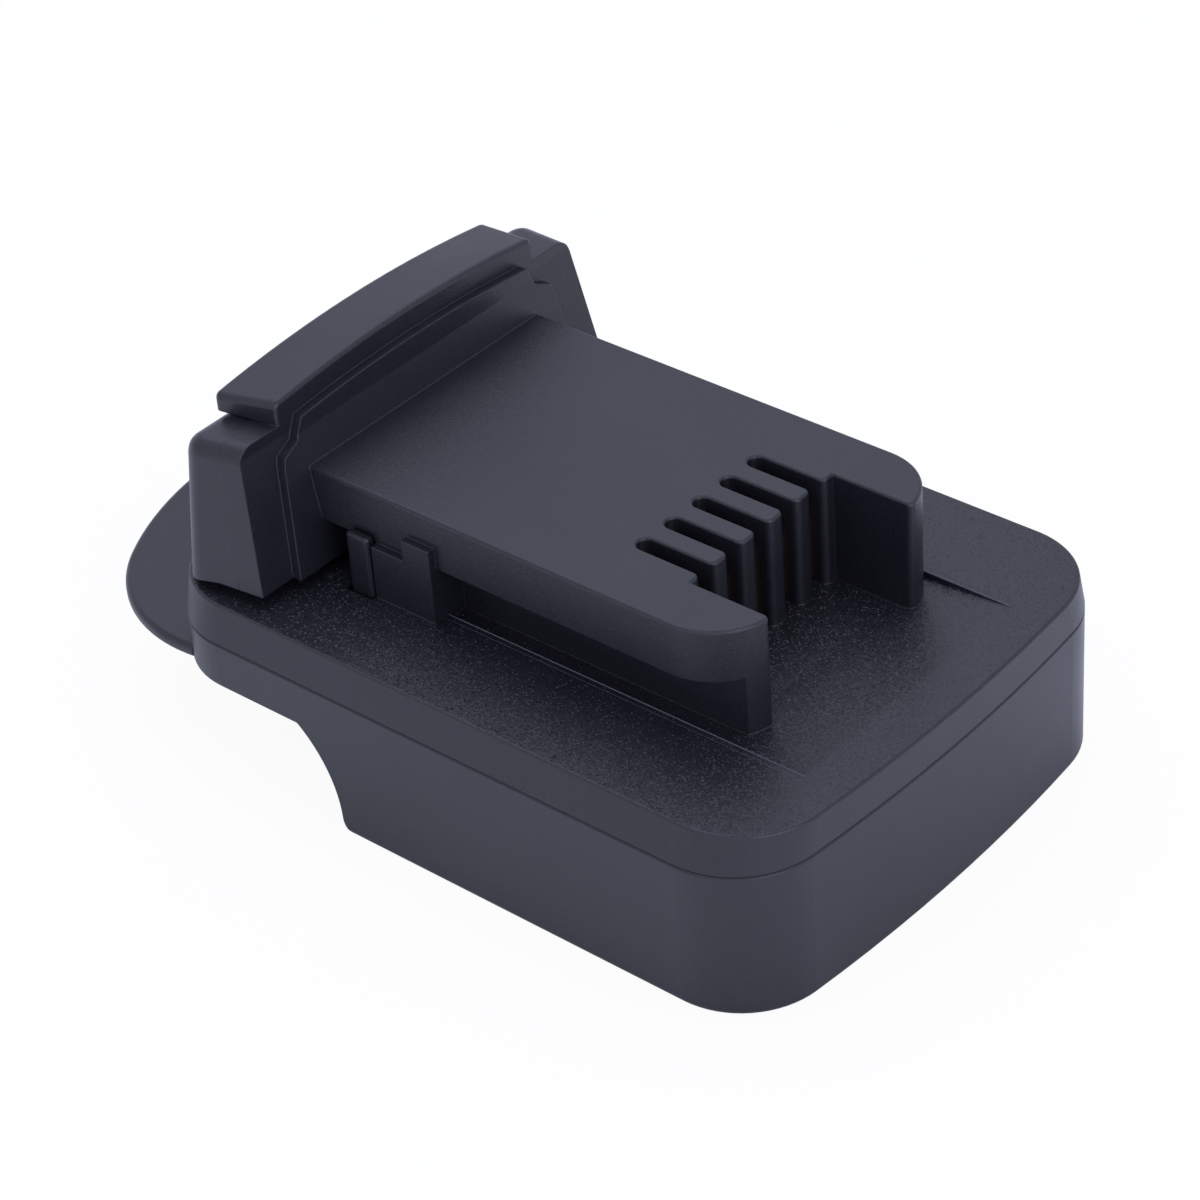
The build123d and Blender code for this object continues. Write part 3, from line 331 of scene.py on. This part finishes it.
class AdapterEdgeLineSettings(bpy.types.PropertyGroup):
    """Fine lighter lines along both sides of the deck's sunk strip: painted highlights on its
    edges.
    """

    radius: bpy.props.FloatProperty(
        name="Radius", description="Radius of the inner line",
        default=0.1 * MILLIMETRE, unit="LENGTH", precision=5)
    step: bpy.props.FloatProperty(
        name="Step", description="Distance from the inner to the outer line",
        default=0.8 * MILLIMETRE, unit="LENGTH", precision=5)
    length: bpy.props.FloatProperty(
        name="Length", description="Length of the lines",
        default=60.7 * MILLIMETRE, unit="LENGTH", precision=4)
    front: bpy.props.FloatProperty(
        name="Front end", description="Distance of the lines' front end ahead of the origin",
        default=55.6 * MILLIMETRE, unit="LENGTH", precision=4)
    half_width: bpy.props.FloatProperty(
        name="Half width", description="Distance of the inner line from the middle plane",
        default=20.7 * MILLIMETRE, unit="LENGTH", precision=4)
    height: bpy.props.FloatProperty(
        name="Height", description="Height of the deck",
        default=26.6 * MILLIMETRE, unit="LENGTH", precision=4)


class AdapterCameraSettings(bpy.types.PropertyGroup):
    """Viewpoint of the product photograph."""

    azimuth: bpy.props.FloatProperty(
        name="Azimuth", description="Turn of the view about the vertical; zero looks along +Y",
        default=math.radians(42.615), subtype="ANGLE", unit="ROTATION")
    elevation: bpy.props.FloatProperty(
        name="Elevation", description="Height of the camera above the horizon",
        default=math.radians(35.686), subtype="ANGLE", unit="ROTATION")
    roll: bpy.props.FloatProperty(
        name="Roll", description="Tilt of the camera about its own axis",
        default=math.radians(-4.456), subtype="ANGLE", unit="ROTATION")
    distance: bpy.props.FloatProperty(
        name="Distance", description="Camera distance from the plane it looks at",
        default=458.39 * MILLIMETRE, unit="LENGTH")
    lens: bpy.props.FloatProperty(
        name="Focal length", description="Lens of a 36 mm wide sensor, in millimetres",
        default=113.35)
    target: bpy.props.FloatVectorProperty(
        name="Target", description="Point that the offsets are measured from",
        default=(53.98 * MILLIMETRE, 0.0, 20.0 * MILLIMETRE), subtype="TRANSLATION", unit="LENGTH")
    offset_right: bpy.props.FloatProperty(
        name="Offset right", description="Sideways offset of the camera from the target",
        default=-36.445 * MILLIMETRE, unit="LENGTH", precision=5)
    offset_up: bpy.props.FloatProperty(
        name="Offset up", description="Upward offset of the camera from the target",
        default=15.520 * MILLIMETRE, unit="LENGTH", precision=5)


class AdapterStageSettings(bpy.types.PropertyGroup):
    """Floor and light."""

    floor_size: bpy.props.FloatProperty(
        name="Floor size", description="Side of the square floor", default=3.0, unit="LENGTH")
    floor_colour: bpy.props.StringProperty(
        name="Floor colour", description="sRGB hex colour of the floor", default="#F8F8F8")
    key_power: bpy.props.FloatProperty(
        name="Key light",
        description="Power of the large softbox above and behind the bezel, in watts",
        default=2.2)
    fill_power: bpy.props.FloatProperty(
        name="Fill light", description="Power of the softbox on the camera's side, in watts",
        default=0.8)
    front_power: bpy.props.FloatProperty(
        name="Front light",
        description="Power of the low softbox ahead of the front wall, in watts",
        default=3.0)
    light_colour: bpy.props.StringProperty(
        name="Light colour", description="sRGB hex colour of the cool daylight", default="#E1E7FF")
    ambient: bpy.props.FloatProperty(
        name="Ambient", description="Strength of the light from all round", default=0.92)


# Pieces and finishes

class ADAPTER_OT_dress_shells(bpy.types.Operator):
    """Finish the upper shell, the lower shell and the rear cover."""

    bl_idname = "adapter.dress_shells"
    bl_label = "Finish the Shells"

    def execute(self, context):
        s = context.scene.adapter_plastic
        # Deck and rails come from a spark-eroded mould face: matt, with tiny glints
        grained = moulded_plastic(
            "black_abs_spark_eroded", s.shell_colour, roughness=0.4, grain=s.shell_grain,
            depth=s.shell_grain_depth, unevenness=0.04, edge=s.edge_softness, facets=DECK_FACETS)
        # The outer walls come from a fine-ground mould face: smoother, they mirror the room softly
        ground = moulded_plastic(
            "black_abs_fine_ground", s.shell_colour, roughness=0.36,
            grain=s.shell_grain * FINE_GRAIN, depth=s.side_grain_depth, unevenness=0.05,
            edge=s.edge_softness)
        dress(grained, "upper_shell")
        dress(ground, "lower_shell", "rear_cover")
        return {"FINISHED"}


class ADAPTER_OT_dress_lever(bpy.types.Operator):
    """Finish the release lever."""

    bl_idname = "adapter.dress_lever"
    bl_label = "Finish the Release Lever"

    def execute(self, context):
        s = context.scene.adapter_plastic
        # Acetal slides without grease: slightly waxy, with edges twice as soft as the shells'
        waxy = moulded_plastic(
            "black_acetal_moulded", s.shell_colour, roughness=0.38, grain=s.shell_grain,
            depth=s.side_grain_depth, unevenness=0.05, edge=s.edge_softness * 2)
        dress(waxy, "release_lever")
        return {"FINISHED"}


class ADAPTER_OT_dress_hardware(bpy.types.Operator):
    """Finish the pin, the springs and the screws."""

    bl_idname = "adapter.dress_hardware"
    bl_label = "Finish the Pin, Springs and Screws"

    def execute(self, context):
        # Drawn rod: bright, with lines along its length
        rod = drawn_metal("steel_rod_drawn", "#C9C9CC", roughness=0.22, line=0.05 * MILLIMETRE)
        dress(rod, "lever_pin")
        # Spring wire is darker from its heat treatment
        wire = drawn_metal(
            "spring_steel_oiled", "#8D8F93", roughness=0.3, line=0.08 * MILLIMETRE, tint="#76787D")
        dress(wire, "lever_spring_left", "lever_spring_right")
        # Zinc plating has a bluish cast and uneven passivation
        zinc = drawn_metal(
            "screw_steel_zinc_plated", "#A9ADB5", roughness=0.28, line=0.06 * MILLIMETRE,
            tint="#9DA0B4")
        dress(zinc, *[name for name in NODES if name.endswith("_screws")])
        return {"FINISHED"}


class ADAPTER_OT_dress_contacts(bpy.types.Operator):
    """Finish the fork contacts, the blades and the plastic that carries them."""

    bl_idname = "adapter.dress_contacts"
    bl_label = "Finish the Contacts"

    def execute(self, context):
        # Rolled phosphor bronze: warm, slightly tarnished
        bronze = drawn_metal(
            "phosphor_bronze_rolled", "#C79A5B", roughness=0.3, line=0.1 * MILLIMETRE,
            tint="#B4854B")
        dress(bronze, *[name for name in NODES if name.endswith(("_fork_contact", "_blade"))])
        # Glass-filled nylon: dull, with fibres just under the skin
        nylon = moulded_plastic(
            "grey_nylon_glass_filled", "#3A3A3D", roughness=0.6, grain=0.3 * MILLIMETRE,
            depth=0.02 * MILLIMETRE, unevenness=0.05, edge=0.15 * MILLIMETRE)
        dress(nylon, "contact_carrier", "battery_terminal_block")
        return {"FINISHED"}


class ADAPTER_OT_dress_board(bpy.types.Operator):
    """Finish the circuit board, its components and the leads."""

    bl_idname = "adapter.dress_board"
    bl_label = "Finish the Circuit Board"

    def execute(self, context):
        laminate = board_laminate("laminate_green_solder_mask", mask="#0F3D26", copper="#1D5A38")
        dress(laminate, "circuit_board")
        # Transfer-moulded epoxy: dead black with a faint bloom
        epoxy = moulded_plastic(
            "black_epoxy_transfer_moulded", "#242425", roughness=0.55, grain=0.12 * MILLIMETRE,
            depth=0.008 * MILLIMETRE, unevenness=0.04, edge=0.08 * MILLIMETRE)
        dress(epoxy, "power_transistor", "control_chip")
        # Dipped coat of the capacitor: a little glossier than the epoxy
        amber = moulded_plastic(
            "amber_capacitor_epoxy", "#B98531", roughness=0.4, grain=0.12 * MILLIMETRE,
            depth=0.006 * MILLIMETRE, unevenness=0.04, edge=0.08 * MILLIMETRE)
        dress(amber, "smoothing_capacitor")
        # Cable sleeves: soft vinyl with a coarse, shallow grain
        for sleeve, colour, lead in (
            ("red_pvc_extruded", "#A3201B", "positive_lead"),
            ("black_pvc_extruded", "#1E1E1F", "negative_lead"),
        ):
            vinyl = moulded_plastic(
                sleeve, colour, roughness=0.42, grain=0.4 * MILLIMETRE,
                depth=0.01 * MILLIMETRE, unevenness=0.05, edge=0.08 * MILLIMETRE)
            dress(vinyl, lead)
        return {"FINISHED"}


class ADAPTER_OT_add_edge_lines(bpy.types.Operator):
    """Add thin lighter rods beside the deck's sunk strip, which paint the highlights on its edges.
    """

    bl_idname = "adapter.add_edge_lines"
    bl_label = "Add the Edge Lines"

    def execute(self, context):
        s = context.scene.adapter_edge_lines
        # Lighter than the shells: this colour paints the highlight on the strip's edges; the low
        # roughness also gives them a real sheen
        painted_highlight = moulded_plastic(
            "black_abs_painted_highlight_edge", "#454550", roughness=0.22, grain=0.2 * MILLIMETRE,
            depth=0.004 * MILLIMETRE, unevenness=0.05, edge=0.05 * MILLIMETRE)
        for name, radius, step in (
            ("strip_edge_line", s.radius, 0.0),
            ("strip_outer_line", s.radius * OUTER_LINE_SHARE, s.step),
        ):
            for side, word in ((-1, "right"), (1, "left")):
                bpy.ops.object.select_all(action="DESELECT")
                bpy.ops.mesh.primitive_cylinder_add(
                    vertices=LINE_SIDES, radius=radius, depth=s.length,
                    rotation=(0, math.pi / 2, 0),
                    location=(s.front - s.length / 2, side * (s.half_width + step), s.height))
                bpy.ops.object.transform_apply(location=True, rotation=True, scale=True)
                line = context.object
                line.name = f"{name}_{word}"
                bpy.ops.object.shade_smooth_by_angle(angle=SMOOTH_ANGLE)
                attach(line, "housing")
                dress(painted_highlight, line.name)
        return {"FINISHED"}


class ADAPTER_OT_add_stage(bpy.types.Operator):
    """Add the pale floor, the softboxes and the surrounding light."""

    bl_idname = "adapter.add_stage"
    bl_label = "Add the Floor and Light"

    def execute(self, context):
        s = context.scene.adapter_stage
        bpy.ops.object.select_all(action="DESELECT")
        bpy.ops.mesh.primitive_plane_add(size=s.floor_size, location=(0, 0, CAD_LOW.z))
        floor = context.object
        floor.name = "floor"
        floor.data.materials.append(paper_sweep("white_paper_sweep", s.floor_colour))

        # Name, power, place and side of each softbox; they all face the origin
        for name, power, spot, side in (
            ("key_softbox", s.key_power, (-0.25, 0.2, 0.8), 0.8),
            ("fill_softbox", s.fill_power, (0.2, -0.8, 0.5), 0.6),
            ("front_softbox", s.front_power, (0.85, -0.3, 0.35), 0.6),
        ):
            bpy.ops.object.light_add(type="AREA", location=spot)
            lamp = context.object
            lamp.name = name
            lamp.data.energy = power
            lamp.data.size = side
            lamp.data.color = linear(s.light_colour)[:3]
            lamp.rotation_euler = Vector(spot).to_track_quat("Z", "Y").to_euler()

        context.scene.world = pale_room("pale_room", s.light_colour, s.ambient)
        context.scene.view_settings.view_transform = "Standard"
        return {"FINISHED"}


class ADAPTER_OT_add_camera(bpy.types.Operator):
    """Add the camera at the photograph's viewpoint."""

    bl_idname = "adapter.add_camera"
    bl_label = "Add the Camera"

    def execute(self, context):
        s = context.scene.adapter_camera
        back = Vector((math.sin(s.azimuth) * math.cos(s.elevation),
                       -math.cos(s.azimuth) * math.cos(s.elevation), math.sin(s.elevation)))
        level = Vector((math.cos(s.azimuth), math.sin(s.azimuth), 0))
        upright = back.cross(level)
        right = level * math.cos(s.roll) + upright * math.sin(s.roll)
        up = upright * math.cos(s.roll) - level * math.sin(s.roll)
        bpy.ops.object.camera_add()
        camera = context.object
        camera.name = "photo_camera"
        turn = Matrix((right, up, back)).transposed().to_4x4()
        spot = Vector(s.target) + right * s.offset_right + up * s.offset_up + back * s.distance
        camera.matrix_world = Matrix.Translation(spot) @ turn
        camera.data.lens = s.lens
        camera.data.sensor_width = SENSOR_WIDTH
        camera.data.clip_start = NEAR_CLIP
        context.scene.camera = camera
        return {"FINISHED"}


OPERATORS = (
    ADAPTER_OT_dress_shells,
    ADAPTER_OT_dress_lever,
    ADAPTER_OT_dress_hardware,
    ADAPTER_OT_dress_contacts,
    ADAPTER_OT_dress_board,
    ADAPTER_OT_add_edge_lines,
    ADAPTER_OT_add_stage,
    ADAPTER_OT_add_camera,
)


class ADAPTER_PT_studio(bpy.types.Panel):
    """Lists the adapter's settings and operators in the sidebar."""

    bl_idname = "ADAPTER_PT_studio"
    bl_label = "Battery Adapter"
    bl_space_type = "VIEW_3D"
    bl_region_type = "UI"
    bl_category = "Adapter"

    def draw(self, context):
        for name in GROUPS:
            column = self.layout.column(align=True)
            group = getattr(context.scene, name)
            for key in group.bl_rna.properties.keys():
                if key not in {"rna_type", "name"}:
                    column.prop(group, key)
        for operator in OPERATORS:
            self.layout.operator(operator.bl_idname)


GROUPS = {
    "adapter_plastic": AdapterPlasticSettings,
    "adapter_edge_lines": AdapterEdgeLineSettings,
    "adapter_camera": AdapterCameraSettings,
    "adapter_stage": AdapterStageSettings,
}
CLASSES = (*GROUPS.values(), *OPERATORS, ADAPTER_PT_studio)


def register():
    """Register the classes and hang the settings on the scene."""
    for item in CLASSES:
        bpy.utils.register_class(item)
    for name, group in GROUPS.items():
        setattr(bpy.types.Scene, name, bpy.props.PointerProperty(type=group))


def unregister():
    """Undo register."""
    for name in GROUPS:
        delattr(bpy.types.Scene, name)
    for item in reversed(CLASSES):
        bpy.utils.unregister_class(item)


def main():
    register()
    for operator in OPERATORS:
        group, name = operator.bl_idname.split(".")
        getattr(getattr(bpy.ops, group), name)()


if __name__ == "__main__":
    main()
